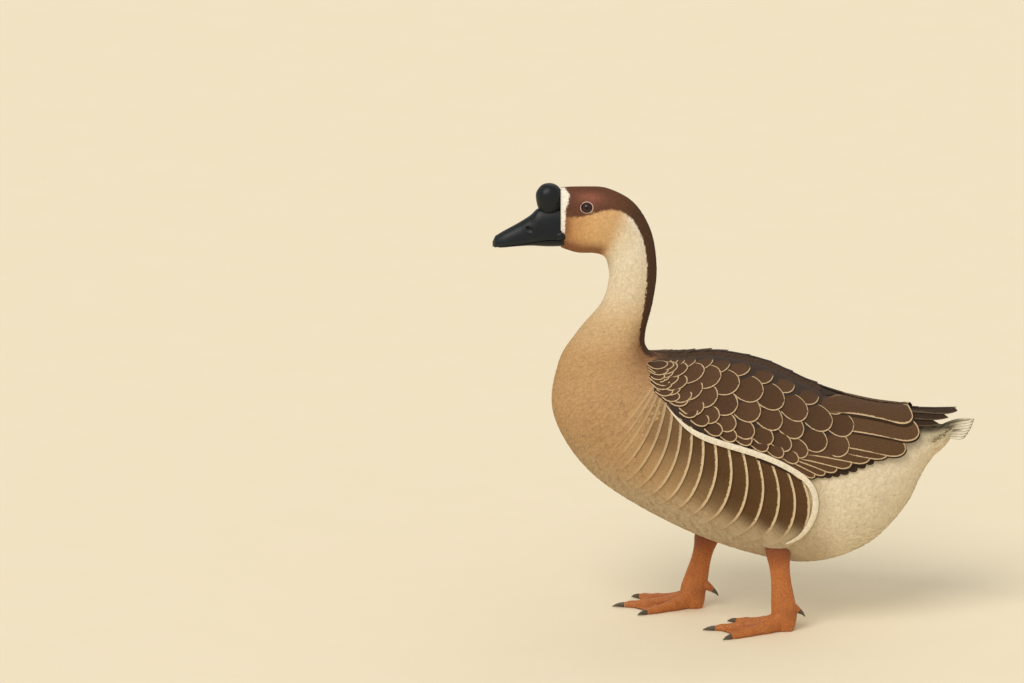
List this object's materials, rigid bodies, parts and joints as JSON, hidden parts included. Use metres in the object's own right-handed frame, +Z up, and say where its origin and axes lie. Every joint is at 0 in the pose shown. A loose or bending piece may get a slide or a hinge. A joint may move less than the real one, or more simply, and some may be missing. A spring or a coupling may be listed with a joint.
{
  "type": "african goose",
  "caption": "Standing African goose as a still life-size model: knobbed black bill, upright neck, folded wings, webbed feet.",
  "frame": {"origin": "on the floor, midway between the bill's tip and the tail's tip, and midway between the outermost toe tips", "axes": "+X from bill to tail, +Y from the bird's left side to its right side, +Z up"},
  "size_m": [0.7972, 0.2726, 0.7437],
  "materials": {
    "body_feather": "tan to grey-buff contour feathers, matt",
    "neck_feather": "cream neck feathers with a dark brown stripe down the nape, matt",
    "crown_feather": "short dark brown cap over buff cheeks, matt",
    "wing_feather": "brown feathers with pale edges, slight sheen",
    "tail_feather": "cream tail feathers with grey-brown centres, slight sheen",
    "bill": "black horny bill and knob, satin",
    "leg_skin": "orange scaled skin, satin",
    "claw": "dark brown horn, satin",
    "eye": "dark brown eye, wet gloss"
  },
  "bodies": {
    "root": {"torso": "body_feather", "neck_upper": "neck_feather", "neck_lower": "neck_feather", "head": "crown_feather", "bill_upper": "bill", "bill_lower": "bill", "knob": "bill", "eye_left": "eye", "eye_right": "eye", "wing_left": "wing_feather", "wing_right": "wing_feather", "tail": "tail_feather", "thigh_left": "body_feather", "thigh_right": "body_feather", "leg_left": "leg_skin", "leg_right": "leg_skin", "foot_left": "leg_skin", "foot_right": "leg_skin", "claw_left_1": "claw", "claw_left_2": "claw", "claw_left_3": "claw", "claw_left_4": "claw", "claw_right_1": "claw", "claw_right_2": "claw", "claw_right_3": "claw", "claw_right_4": "claw"}
  },
  "joints": []
}
